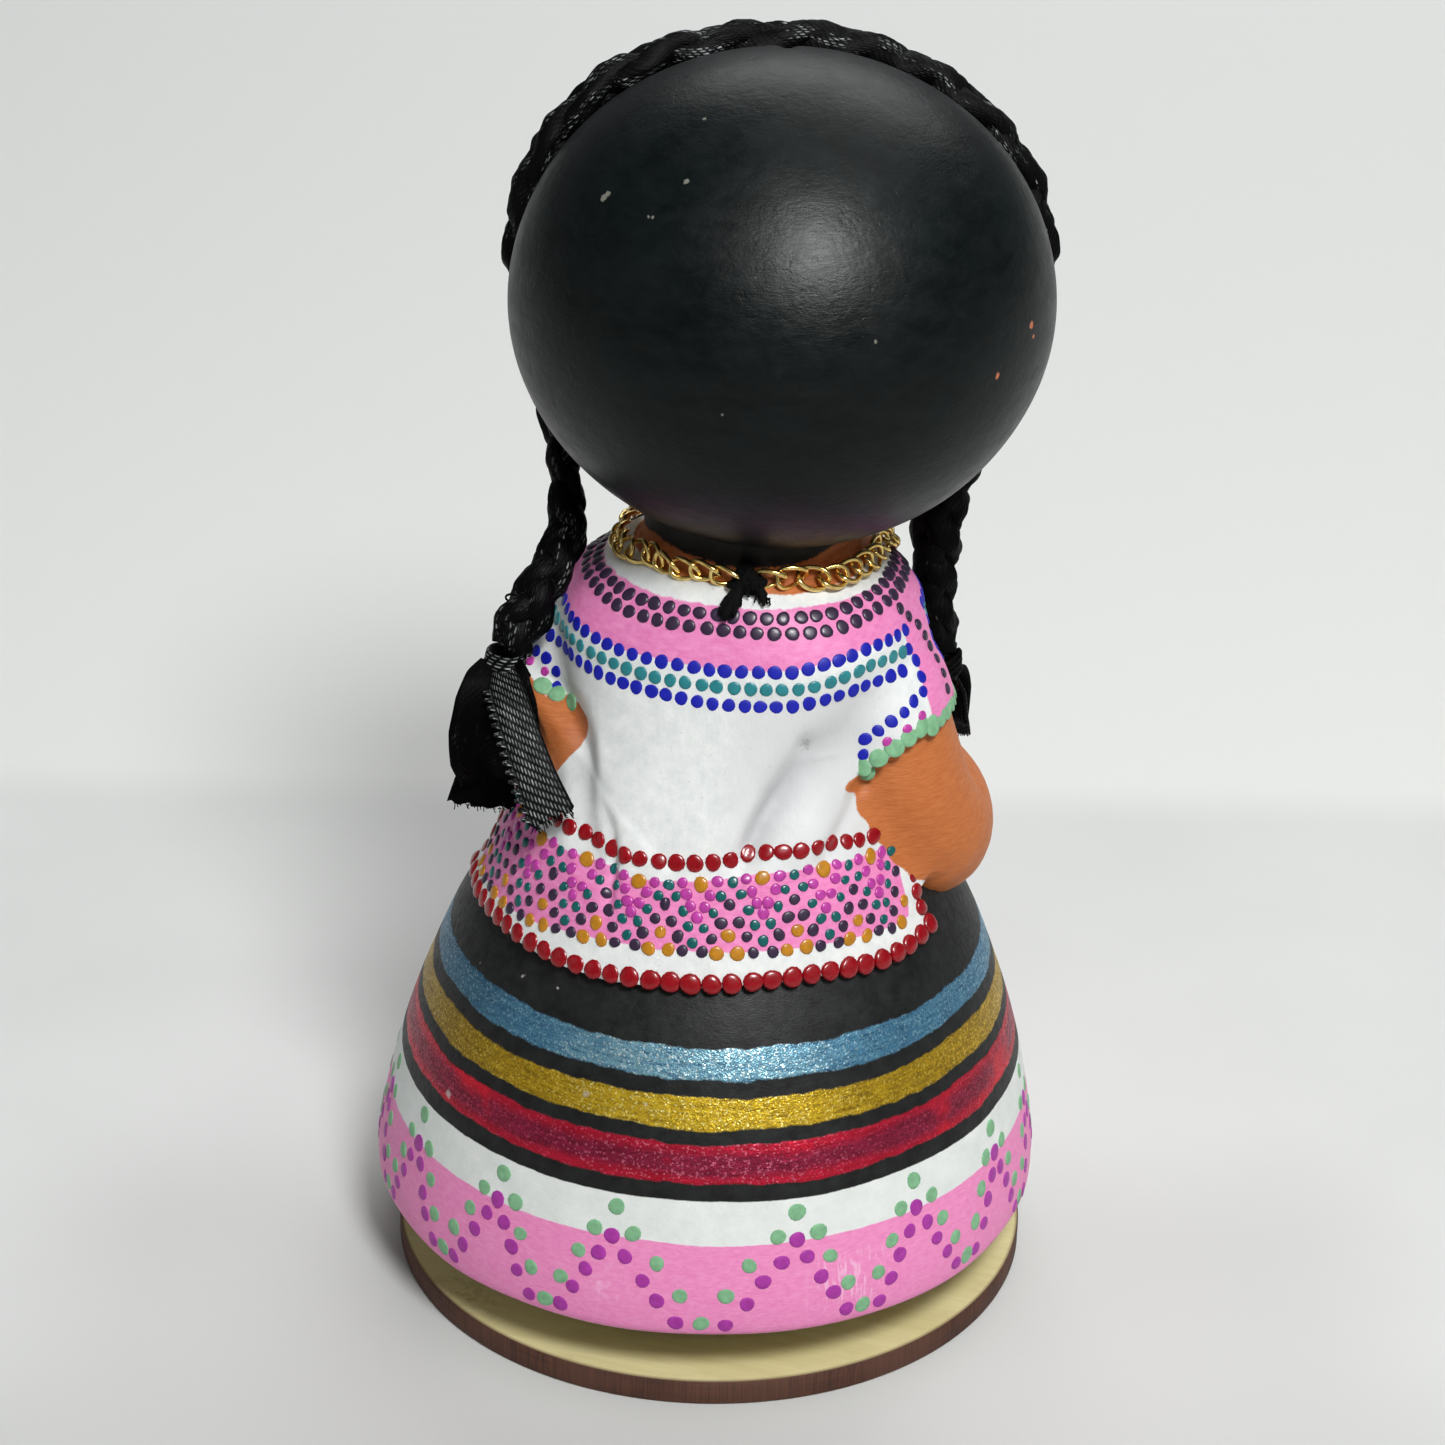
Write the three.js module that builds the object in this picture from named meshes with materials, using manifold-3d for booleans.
// Painted clay folk figurine of a woman: bell skirt, loose blouse, round head,
// a braid laid over the head with both ends hanging, a chain round the neck,
// all standing on a thin wooden disc.
//
// Millimetres, +Z up.  The origin is the centre of the disc's underside.
// The figure faces -Y, its back is +Y and its own left hand is +X.

import * as THREE from 'three';
import { mergeVertices } from 'three/addons/utils/BufferGeometryUtils.js';
import Module from 'manifold-3d';

const wasm = await Module();
wasm.setup();

// ------------------------------------------------------------------ sizes
const DISC_R = 35;            // wooden disc, radius
const DISC_T = 3;             // wooden disc, thickness
const DISC_EDGE = 0.35;       // softened arris of the disc
const FOOT_R = 26;            // hidden foot of the skirt, on the disc

// lean of the hand-made body towards its own right, along LEAN_DIR
const LEAN_DIR = new THREE.Vector2(-0.961, -0.276);
const LEAN = [[3, -0.6], [14, -0.5], [25, -0.2], [35, 0.1], [45, 0.4], [60, 1.2], [83, 2.8], [100, 4.6], [111, 5.6], [137, 5.6]];

// skirt: radius at each height
const SKIRT = [[9.5, 36.2], [10.3, 36.5], [13, 36.5], [16, 36.1], [20, 35.3], [25, 34.1], [30, 32.6],
  [35, 30.8], [40, 28.8], [45, 26.2], [50, 23.2], [56, 19.5], [62, 15.5]];

// blouse: half-width, depth to the back, depth to the front at each height
const HEM_Z = 46.4;           // underside of the blouse hem
const BLOUSE_W = [[46.4, 26.6], [48.5, 25.0], [52.5, 23.0], [57, 20.4], [61, 18.4], [66, 17.3], [71, 17.6], [75, 18.4],
  [77.5, 18.6], [80, 17.6], [82, 15.9], [83.5, 13.6], [84.8, 11.4]];
const BLOUSE_B = [[46.4, 26.6], [50, 25.0], [54, 23.1], [57.5, 21.7], [62, 20.2], [66, 19.0], [70, 17.9], [74, 16.9],
  [77, 16.1], [80, 15.0], [82, 14.0], [83.5, 12.7], [84.8, 11.2]];
const BLOUSE_F = [[46.4, 26.6], [50, 25.2], [54, 23.8], [58, 22.8], [62, 22.0], [66, 21.2], [70, 20.2], [74, 18.8],
  [77, 17.3], [80, 15.5], [82, 14.0], [83.5, 12.6], [84.8, 11.2]];
const BLOUSE_SQUARE = 2.45;   // superellipse exponent of the body's section
// creases in the blouse: angle at its top and at its foot (degrees from +X), top and foot heights, half-width (degrees), depth
const FOLDS = [[45, 77, 71, 53.5, 6.5, 1.2], [136, 108, 67, 56, 8, 0.8], [-50, -76, 71, 55, 7, 1.0], [-132, -106, 70, 55, 7, 1.0]];
const SLIT_FROM = 69;         // half-angle of the back and front hem panels, degrees
const SLIT_TOP = 53.5;        // top of the side slits, hidden by the arms

// neck and head
const NECK_R = 11.2;
const HEAD_C = new THREE.Vector3(-5.4, -1.5, 110.9);
const HEAD_A = new THREE.Vector3(27.6, 26.2, 25.0);   // half-width, half-depth, half-height
const HEAD_TURN = 16;         // the head looks a little to its own left, degrees
const NOSE_L = 2.4;

// arms, relative to the leaning axis: shoulder, sleeve, elbow, forearm, hand; the left one is held a little higher
const ARM_RIGHT = [[-14.2, -0.4, 75.0], [-17.2, 0.5, 66.0], [-20.8, 0.2, 58.2], [-22.7, -2.4, 53.2], [-20.2, -10.6, 52.4],
  [-13.6, -18.2, 54.8], [-6.4, -22.2, 57.2]];
const ARM_LEFT = [[14.2, -0.4, 76.0], [16.8, 0.3, 68.0], [19.4, -0.4, 61.4], [20.2, -3.6, 57.6], [18.6, -11.2, 56.4],
  [13.2, -18.4, 57.2], [6.4, -22.2, 58.4]];
const ARM_R = [[0, 5.8], [0.22, 6.2], [0.42, 6.3], [0.56, 6.6], [0.72, 5.5], [0.86, 4.3], [1, 3.7]];
const ARM_DEPTH = [[0, 1.35], [0.3, 1.3], [0.55, 1.08], [1, 1.0]];
const SLEEVE_PATH = [[-9.5, 0, 76.0], [-13.6, 0.2, 73.6], [-16.3, 0.5, 70.0], [-17.5, 0.7, 65.9]];
const LEFT_SLEEVE_RAISE = 1.2;
const SLEEVE_R = [[0, 4.2], [0.35, 5.6], [0.7, 6.2], [1, 6.6]];
const SLEEVE_DEPTH = 1.42;

// braid over the head and its two hanging ends
const BRAID_R = 1.9;           // on the head
const BRAID_GAP = 0.35;
const CROWN_FROM = -14, CROWN_TO = 194;     // round the head from its right side over the top to its left, degrees
const CROWN_AHEAD = [[-14, 11.5], [10, 11], [40, 11.5], [75, 14.5], [100, 14], [125, 11], [150, 9.5], [168, 10], [194, 11.8]];
const CROWN_LIFT = [[100, 0], [145, 0.3], [176, 0]];   // stands off the head a little at the upper left
const HANG_R = 2.35;           // hanging ends, mean radius
const LEFT_HANG = [[22.9, -6.6, 103.4], [21.6, -5.2, 99.4], [19.7, -3.3, 95.2], [17.9, -1.2, 91.2], [16.5, 1.6, 87.2], [15.8, 4.5, 84.0],
  [16.6, 7.6, 80.9], [18.2, 9.9, 77.6], [19.6, 11.2, 74.0]];
const RIGHT_HANG = [[-25.2, -22.0, 102.4], [-24.0, -19.9, 97.4], [-22.0, -17.9, 92.6], [-20.5, -16.6, 88.4], [-19.5, -16.0, 84.0],
  [-19.2, -15.9, 79.4], [-19.3, -16.1, 74.8], [-19.6, -16.8, 70.6], [-19.8, -17.8, 67.0]];
const LEFT_KNOT = [20.3, 11.4, 71.2], RIGHT_KNOT = [-19.8, -18.6, 63.6], KNOT_R = 2.6;

// neck chain and its thread
const CHAIN_R = 1.0;           // outer radius of the chain's links taken together
const CHAIN_GAP = 0.45;
// heights at which it touches the neck and the blouse, by the angle from +X
const CHAIN_Z = [[-180, 83.2], [-170, 82.9], [-150, 81.6], [-120, 79.0], [-90, 78.0], [-60, 79.2], [-30, 81.8], [-10, 83.5], [0, 84.0], [10, 83.85],
  [30, 83.9], [40, 84.2], [55, 84.65], [70, 84.85], [85, 85.2], [96, 85.1], [106, 85.0], [114, 85.3], [121, 85.3], [130, 84.6], [140, 84.0],
  [160, 83.8], [170, 83.65], [180, 83.2]];
const KNOT_AT = 105;           // degrees round from +X, just right of the middle of the back
const KNOT_HALF = 7.0;         // half of the opening in the chain, degrees

// ------------------------------------------------------------------ helpers
const V = (x, y, z) => new THREE.Vector3(x, y, z);
const deg = Math.PI / 180;

// smooth value of a table [[key, value], ...] at t (cubic between the keys)
function along(t, rows) {
  const n = rows.length;
  if (t <= rows[0][0]) return rows[0][1];
  if (t >= rows[n - 1][0]) return rows[n - 1][1];
  let i = 0;
  while (t > rows[i + 1][0]) i++;
  const h = rows[i + 1][0] - rows[i][0];
  const slope = (k) => {
    if (k <= 0) return (rows[1][1] - rows[0][1]) / (rows[1][0] - rows[0][0]);
    if (k >= n - 1) return (rows[n - 1][1] - rows[n - 2][1]) / (rows[n - 1][0] - rows[n - 2][0]);
    return (rows[k + 1][1] - rows[k - 1][1]) / (rows[k + 1][0] - rows[k - 1][0]);
  };
  const u = (t - rows[i][0]) / h, u2 = u * u, u3 = u2 * u;
  return (2 * u3 - 3 * u2 + 1) * rows[i][1] + (u3 - 2 * u2 + u) * h * slope(i)
    + (-2 * u3 + 3 * u2) * rows[i + 1][1] + (u3 - u2) * h * slope(i + 1);
}

// the leaning axis at height z
function axisAt(z) {
  const s = along(z, LEAN);
  return [LEAN_DIR.x * s, LEAN_DIR.y * s];
}

// a closed LatheGeometry whose vertices are then moved by place(angle, row, radius, height);
// the seam and the two poles are kept exactly shared
function turned(profile, segments, place) {
  const g = new THREE.LatheGeometry(profile.map(([r, h]) => new THREE.Vector2(r, h)), segments);
  const p = g.getAttribute('position');
  const rows = profile.length;
  const at = (col, row) => {
    const angle = (col / segments) * 2 * Math.PI;
    return place(angle, row, profile[row][0], profile[row][1]);
  };
  for (let col = 0; col <= segments; col++) {
    for (let row = 0; row < rows; row++) {
      const pole = profile[row][0] === 0;
      const q = at(pole ? 0 : col % segments, row);
      p.setXYZ(col * rows + row, q.x, q.y, q.z);
    }
  }
  return g;
}

// a closed three.js geometry as a solid
function solid(geometry) {
  let g = geometry.clone();
  g.deleteAttribute('normal');
  g.deleteAttribute('uv');
  g = mergeVertices(g, 1e-5);
  const index = Array.from(g.index.array);
  const pos = g.getAttribute('position').array;
  const keep = [];
  const tri = [V(0, 0, 0), V(0, 0, 0), V(0, 0, 0)];
  let vol = 0;
  for (let i = 0; i < index.length; i += 3) {
    const [a, b, c] = [index[i], index[i + 1], index[i + 2]];
    if (a === b || b === c || c === a) continue;
    keep.push(a, b, c);
    [a, b, c].forEach((v, k) => tri[k].set(pos[3 * v], pos[3 * v + 1], pos[3 * v + 2]));
    vol += tri[0].dot(tri[1].clone().cross(tri[2])) / 6;
  }
  if (vol < 0) for (let i = 0; i < keep.length; i += 3) [keep[i + 1], keep[i + 2]] = [keep[i + 2], keep[i + 1]];
  return new wasm.Manifold(new wasm.Mesh({ numProp: 3, vertProperties: new Float32Array(pos), triVerts: new Uint32Array(keep) }));
}

function toGeometry(body) {
  const m = body.getMesh();
  const g = new THREE.BufferGeometry();
  g.setAttribute('position', new THREE.BufferAttribute(new Float32Array(m.vertProperties), 3));
  g.setIndex(new THREE.BufferAttribute(new Uint32Array(m.triVerts), 1));
  g.computeVertexNormals();
  return g;
}

const group = new THREE.Group();
function addPart(name, body, color, roughness, metalness = 0) {
  const geometry = body.isBufferGeometry ? body : toGeometry(body);
  const mesh = new THREE.Mesh(geometry, new THREE.MeshStandardMaterial({ color, roughness, metalness }));
  mesh.name = name;
  group.add(mesh);
  return mesh;
}

// a tapering, round-ended limb swept along a curve; the section is r(t) across and r(t) * depth(t) the other way
function limb(curve, r, depth, rings, segments, roundStart, roundEnd, outward) {
  const L = curve.getLength();
  const profile = [[0, 0]];
  for (let k = 1; k < rings; k++) profile.push([1, k / rings]);
  profile.push([0, 1]);
  return turned(profile, segments, (angle, row) => {
    const t = row / (profile.length - 1);
    const r0 = r(t);
    // rounded ends: the rings close as on a half ball
    let k = 1;
    const start = (t * L) / (roundStart * r0), end = ((1 - t) * L) / (roundEnd * r0);
    if (roundStart > 0 && start < 1) k = Math.min(k, Math.sqrt(Math.max(0, 1 - (1 - start) ** 2)));
    if (roundEnd > 0 && end < 1) k = Math.min(k, Math.sqrt(Math.max(0, 1 - (1 - end) ** 2)));
    if (profile[row][0] === 0) k = 0;
    const c = curve.getPointAt(t), T = curve.getTangentAt(t);
    const u = outward(c).addScaledVector(T, -outward(c).dot(T)).normalize();
    const w = T.clone().cross(u).normalize();
    return c.clone()
      .addScaledVector(u, Math.cos(angle) * r0 * k)
      .addScaledVector(w, Math.sin(angle) * r0 * depth(t) * k);
  });
}

// a plain round tube along a curve, closed at both ends
function tube(curve, radius, sides, steps) {
  const shape = new THREE.Shape();
  for (let i = 0; i < sides; i++) {
    const a = (i / sides) * 2 * Math.PI;
    if (i === 0) shape.moveTo(radius * Math.cos(a), radius * Math.sin(a));
    else shape.lineTo(radius * Math.cos(a), radius * Math.sin(a));
  }
  shape.closePath();
  return new THREE.ExtrudeGeometry(shape, { steps, extrudePath: curve, bevelEnabled: false, curveSegments: 1 });
}

// ------------------------------------------------------------------ body surface
// radius of the skirt and of the blouse round the leaning axis; angle from +X
function skirtR(z) { return along(z, SKIRT); }
function blouseR(angle, z) {
  const w = along(z, BLOUSE_W), b = along(z, BLOUSE_B), f = along(z, BLOUSE_F);
  const c = Math.abs(Math.cos(angle)), s = Math.abs(Math.sin(angle));
  const d = Math.sin(angle) >= 0 ? b : f;
  const low = Math.min(1, Math.max(0, (z - HEM_Z) / 10));
  const n = 2 + (BLOUSE_SQUARE - 2) * low * (z > 78 ? Math.max(0, 1 - (z - 78) / 6) : 1);
  return (((c / w) ** n) + ((s / d) ** n)) ** (-1 / n) - foldDepth(angle, z);
}
// how deep the creases cut in at an angle and height
function foldDepth(angle, z) {
  let depth = 0;
  for (const [top, foot, zTop, zFoot, half, deep] of FOLDS) {
    const u = (zTop - z) / (zTop - zFoot);
    if (u <= 0 || u >= 1) continue;
    const off = (((angle / deg - (top + (foot - top) * u)) % 360 + 540) % 360) - 180;
    depth += deep * Math.sin(Math.PI * u) ** 0.7 * Math.exp(-((off / half) ** 2));
  }
  return depth;
}
// 0 on the back and front panels, 1 inside the side slits
function inSlit(angle, z) {
  const fromBack = Math.abs(((angle / deg - 90 + 540) % 360) - 180);     // 0 at the back, 180 at the front
  const side = Math.min(fromBack, 180 - fromBack);
  return side > SLIT_FROM && z < SLIT_TOP ? 1 : 0;
}

// ------------------------------------------------------------------ wooden disc
{
  const r = DISC_R, t = DISC_T, e = DISC_EDGE;
  const profile = [[0, 0], [r - e, 0], [r, e], [r, t - e], [r - e, t], [0, t]];
  const g = turned(profile, 64, (a, row, rad, h) => V(rad * Math.cos(a), rad * Math.sin(a), h));
  addPart('wooden_disc', solid(g), 0xc4b184, 0.75);
}

// ------------------------------------------------------------------ clay figure
// skirt: foot, concave undercut, rim and bell
function skirtSolid() {
  const z0 = DISC_T;
  const profile = [[0, z0], [FOOT_R, z0], [26.4, 3.6], [28.6, 5.9], [32.0, 8.1]];
  for (const z of [9.5, 10.3, 13, 16, 20, 25, 30, 35, 40, 43, 46, 50, 54, 58, 62]) profile.push([skirtR(z), z]);
  profile.push([0, 62]);
  return solid(turned(profile, 48, (a, row, r, h) => {
    const [ax, ay] = axisAt(h);
    return V(ax + r * Math.cos(a), ay + r * Math.sin(a), h);
  }));
}
// blouse: its hem stands off the skirt, open at the two side slits
function blouseSolid() {
  const zs = [HEM_Z, HEM_Z + 0.01, 48.5, 51, 53.4, 53.6, 57, 61, 65, 69, 73, 76, 78.5, 80.5, 82, 83.2, 84.2, 84.8];
  const profile = zs.map((z, i) => [i === 0 ? 20 : 1, z]);
  profile.unshift([0, HEM_Z]);
  profile.push([0, 84.8]);
  return solid(turned(profile, 48, (a, row, r, h) => {
    const [ax, ay] = axisAt(h);
    let rr = r === 0 ? 0 : blouseR(a, h);
    if (r > 0 && inSlit(a, h)) rr = Math.min(rr, skirtR(h) - 0.4);
    if (r === 20) rr = Math.min(20, rr);
    return V(ax + rr * Math.cos(a), ay + rr * Math.sin(a), h);
  }));
}
function neckSolid() {
  const profile = [[0, 78], [NECK_R + 0.2, 78], [NECK_R + 0.1, 83], [NECK_R, 86], [NECK_R + 0.6, 90], [NECK_R + 1.5, 95], [0, 95]];
  return solid(turned(profile, 28, (a, row, r, h) => {
    const [ax, ay] = axisAt(h);
    return V(ax + r * Math.cos(a), ay + r * Math.sin(a), h);
  }));
}
// a point given in the head's own directions: across to its left, back, up
function onHead(x, y, z) {
  const c = Math.cos(HEAD_TURN * deg), k = Math.sin(HEAD_TURN * deg);
  return V(HEAD_C.x + x * c - y * k, HEAD_C.y + x * k + y * c, HEAD_C.z + z);
}
function headSolid() {
  const rows = 18, profile = [];
  for (let i = 0; i <= rows; i++) {
    const t = (i / rows) * Math.PI;
    profile.push([i === 0 || i === rows ? 0 : Math.sin(t), -Math.cos(t)]);
  }
  return solid(turned(profile, 36, (a, row, r, h) => onHead(HEAD_A.x * r * Math.cos(a), HEAD_A.y * r * Math.sin(a), HEAD_A.z * h)));
}
function noseSolid() {
  const profile = [];
  for (let i = 0; i <= 8; i++) {
    const t = (i / 8) * Math.PI;
    profile.push([i === 0 || i === 8 ? 0 : Math.sin(t), -Math.cos(t)]);
  }
  return solid(turned(profile, 10, (a, row, r, h) => onHead(1.9 * r * Math.cos(a), -HEAD_A.y + 0.4 + 1.9 * r * Math.sin(a), -3.4 + NOSE_L * h)));
}
// a curve through points given from the leaning axis
function pathOf(points) {
  return new THREE.CatmullRomCurve3(points.map(([x, y, z]) => {
    const [ax, ay] = axisAt(z);
    return V(ax + x, ay + y, z);
  }), false, 'centripetal');
}
const outward = (c) => {
  const [ax, ay] = axisAt(c.z);
  return V(c.x - ax, c.y - ay, 0).normalize();
};
function armSolid(path) {
  return solid(limb(pathOf(path), (t) => along(t, ARM_R), (t) => along(t, ARM_DEPTH), 15, 14, 0.6, 0.9, outward));
}
function sleeveSolid(path) {
  return solid(limb(pathOf(path), (t) => along(t, SLEEVE_R), () => SLEEVE_DEPTH, 7, 16, 0.6, 0, outward));
}
const leftSleeve = SLEEVE_PATH.map(([x, y, z], i) => [-x, y, z + (i > 1 ? LEFT_SLEEVE_RAISE : 0)]);
const clay = skirtSolid().add(blouseSolid()).add(neckSolid()).add(headSolid()).add(noseSolid())
  .add(armSolid(ARM_RIGHT)).add(armSolid(ARM_LEFT)).add(sleeveSolid(SLEEVE_PATH)).add(sleeveSolid(leftSleeve));
addPart('clay_figure', clay, 0x2a2a2c, 0.6);

// ------------------------------------------------------------------ braid over the head
{
  const pts = [];
  for (let i = 0; i <= 26; i++) {
    const deg0 = CROWN_FROM + ((CROWN_TO - CROWN_FROM) * i) / 26;
    const t = deg0 * deg, ahead = along(deg0, CROWN_AHEAD);
    const k = Math.sqrt(1 - (ahead / HEAD_A.y) ** 2);
    // on the head's surface, then out along its normal
    const q = [-HEAD_A.x * k * Math.cos(t), -ahead, HEAD_A.z * k * Math.sin(t)];
    const n = V(q[0] / HEAD_A.x ** 2, q[1] / HEAD_A.y ** 2, q[2] / HEAD_A.z ** 2).normalize()
      .multiplyScalar(BRAID_R + BRAID_GAP + along(deg0, CROWN_LIFT));
    pts.push(onHead(q[0] + n.x, q[1] + n.y, q[2] + n.z));
  }
  const curve = new THREE.CatmullRomCurve3(pts, false, 'centripetal');
  addPart('braid_crown', solid(tube(curve, BRAID_R, 10, 34)), 0x0c0c0d, 0.55);
}

// the two ends that hang free, each with its tied ribbon
const hangPath = (points) => new THREE.CatmullRomCurve3(points.map(([x, y, z]) => V(x, y, z)), false, 'centripetal');
addPart('braid_end_left', solid(tube(hangPath(LEFT_HANG), HANG_R, 8, 16)), 0x0c0c0d, 0.55);
addPart('braid_end_right', solid(tube(hangPath(RIGHT_HANG), HANG_R, 8, 16)), 0x0c0c0d, 0.55);

// a half-and-half ball with its own half-axes
function ball(c, a, rows = 8, cols = 12) {
  const profile = [];
  for (let i = 0; i <= rows; i++) {
    const t = (i / rows) * Math.PI;
    profile.push([i === 0 || i === rows ? 0 : Math.sin(t), -Math.cos(t)]);
  }
  return solid(turned(profile, cols, (an, row, r, h) => V(c.x + a.x * r * Math.cos(an), c.y + a.y * r * Math.sin(an), c.z + a.z * h)));
}
// a flat length of ribbon between two points, facing `across`
function strip(from, to, width, thick, across) {
  const dir = to.clone().sub(from), L = dir.length();
  const box = new THREE.BoxGeometry(width, thick, L);
  const zAxis = dir.clone().normalize();
  const yAxis = across.clone().addScaledVector(zAxis, -across.dot(zAxis)).normalize();
  box.applyMatrix4(new THREE.Matrix4().makeBasis(yAxis.clone().cross(zAxis).normalize(), yAxis, zAxis));
  const c = from.clone().lerp(to, 0.5);
  box.translate(c.x, c.y, c.z);
  return solid(box);
}
{
  const back = V(-0.276, 0.961, 0), front = V(0.1, -1, 0);
  const kl = V(...LEFT_KNOT);
  addPart('ribbon_tie_left', ball(kl, V(KNOT_R, KNOT_R, KNOT_R))
    .add(ball(V(22.3, 11.6, 63.6), V(4.4, 2.3, 5.9)))
    .add(strip(V(21.6, 12.4, 68.5), V(22.9, 11.9, 55.2), 6.6, 1.4, back))
    .add(strip(V(20.4, 13.0, 70.0), V(11.6, 20.6, 58.2), 4.9, 1.2, V(0.45, 0.85, 0.25))), 0x0b0b0c, 0.5);
  const kr = V(...RIGHT_KNOT);
  addPart('ribbon_tie_right', ball(kr, V(KNOT_R, KNOT_R, KNOT_R))
    .add(ball(V(-18.7, -24.4, 59.0), V(3.2, 1.7, 4.2)))
    .add(strip(V(-19.6, -20.4, 62.8), V(-19.2, -27.0, 52.6), 5.2, 1.2, front))
    .add(strip(V(-19.4, -20.4, 62.8), V(-15.8, -29.6, 54.6), 4.6, 1.1, V(-0.3, -0.9, 0.2))), 0x0b0b0c, 0.5);
}

// ------------------------------------------------------------------ neck chain, tied at the back with thread
function chainPoint(angle) {
  const z = along(((angle / deg + 540) % 360) - 180, CHAIN_Z);
  const at = (an, zz) => {
    const [ax, ay] = axisAt(zz);
    const r = blouseR(an, zz);
    return V(ax + r * Math.cos(an), ay + r * Math.sin(an), zz);
  };
  const p = at(angle, z), e = 0.4;
  const n = at(angle + 0.02, z).sub(at(angle - 0.02, z)).cross(at(angle, z + e).sub(at(angle, z - e))).normalize();
  return p.addScaledVector(n, CHAIN_R + CHAIN_GAP);
}
{
  const pts = [];
  const from = (KNOT_AT + KNOT_HALF) * deg, span = (360 - 2 * KNOT_HALF) * deg;
  for (let i = 0; i <= 40; i++) pts.push(chainPoint(from + (span * i) / 40));
  const curve = new THREE.CatmullRomCurve3(pts, false, 'centripetal');
  addPart('neck_chain', solid(tube(curve, CHAIN_R, 8, 52)), 0xc9a24a, 0.3, 1);

  const a = chainPoint((KNOT_AT + KNOT_HALF) * deg), b = chainPoint((KNOT_AT - KNOT_HALF) * deg);
  const c = a.clone().lerp(b, 0.5), half = a.distanceTo(b) / 2 - 0.3;
  const x = b.clone().sub(a).normalize();
  const rows = 8, profile = [];
  for (let i = 0; i <= rows; i++) {
    const t = (i / rows) * Math.PI;
    profile.push([i === 0 || i === rows ? 0 : Math.sin(t), -Math.cos(t)]);
  }
  const n = V(c.x - axisAt(c.z)[0], c.y - axisAt(c.z)[1], 0).normalize();
  const up = V(0, 0, 1);
  const knot = solid(turned(profile, 12, (an, row, r, h) => c.clone()
    .addScaledVector(n, 1.0).addScaledVector(up, -0.25)
    .addScaledVector(x, half * r * Math.cos(an)).addScaledVector(n, 1.0 * r * Math.sin(an)).addScaledVector(up, 2.0 * h)));
  addPart('chain_thread', knot, 0x101010, 0.9);
}

export default group;
